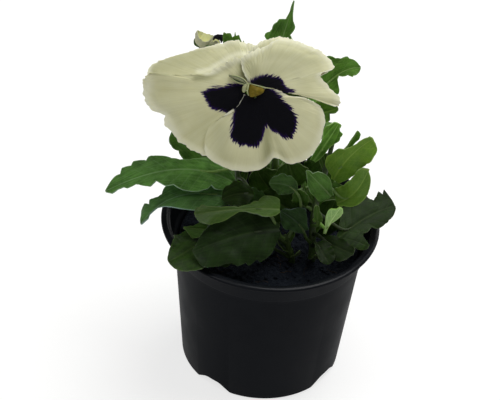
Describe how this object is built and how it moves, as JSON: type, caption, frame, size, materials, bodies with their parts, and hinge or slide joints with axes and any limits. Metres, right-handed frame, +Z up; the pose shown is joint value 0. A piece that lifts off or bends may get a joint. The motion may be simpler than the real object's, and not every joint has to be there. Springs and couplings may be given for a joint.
{
  "type": "potted pansy",
  "caption": "Pansy with toothed leaves and an open cream bloom with dark blotches, rooted in peat in a thin-walled black nursery pot.",
  "frame": {"origin": "middle of the pot's flat underside, on the surface it stands on", "axes": "+Z up, -Y towards the side the bloom faces, +X to the right seen from there"},
  "size_m": [0.1179, 0.0973, 0.1556],
  "materials": {
    "pot_plastic": "satin black moulded polypropylene",
    "peat": "rough damp peat, nearly black",
    "leaf": "soft matt mid green",
    "young_leaf": "soft matt bright green",
    "stem": "satin pale green",
    "petal": "velvety cream with near-black violet blotches",
    "throat": "soft matt golden yellow",
    "fading_petal": "velvety yellow green"
  },
  "bodies": {
    "root": {"pot": "pot_plastic", "soil": "peat", "stem_back": "stem", "stem_right": "stem", "stem_left": "stem", "stem_front": "stem", "leaf_left_long": "leaf", "leaf_left_under": "leaf", "leaf_left_behind": "leaf", "leaf_left_inner": "leaf", "leaf_front_folded": "young_leaf", "leaf_front_broad": "leaf", "leaf_front_under": "leaf", "leaf_front_over_lip": "leaf", "leaf_left_small": "leaf", "leaf_beside_bloom": "leaf", "leaf_right_narrow": "leaf", "leaf_right_round": "young_leaf", "leaf_right_upright": "leaf", "leaf_right_bright": "young_leaf", "leaf_right_over_lip": "leaf", "leaf_right_low": "leaf", "leaf_right_lowest": "leaf", "leaf_right_pale": "leaf", "leaf_centre_front": "leaf", "leaf_centre_small": "leaf", "leaf_centre_tall": "leaf", "leaf_centre_left": "leaf", "leaf_centre_behind": "leaf", "leaf_centre_inner": "leaf", "leaf_centre_high": "leaf", "leaf_right_inner": "leaf", "leaf_right_deep": "leaf", "leaf_centre_dark": "leaf", "leaf_right_dark": "leaf", "leaf_behind_right": "leaf", "leaf_behind_petal": "leaf", "leaf_top": "leaf", "leaf_behind_bud": "leaf", "leaf_far_left": "leaf", "leaf_far_right": "leaf", "leaf_far_over_lip": "leaf", "leaf_far_low_left": "leaf", "leaf_far_low_right": "leaf", "leaf_far_high": "leaf", "leaf_far_upright": "leaf", "petal_lower": "petal", "petal_left": "petal", "petal_right": "petal", "petal_upper_front": "petal", "petal_upper_back": "petal", "throat": "throat", "calyx": "leaf", "second_bloom": "fading_petal", "second_calyx": "leaf", "bloom_stalk": "stem", "bud_stalk": "stem"}
  },
  "joints": []
}
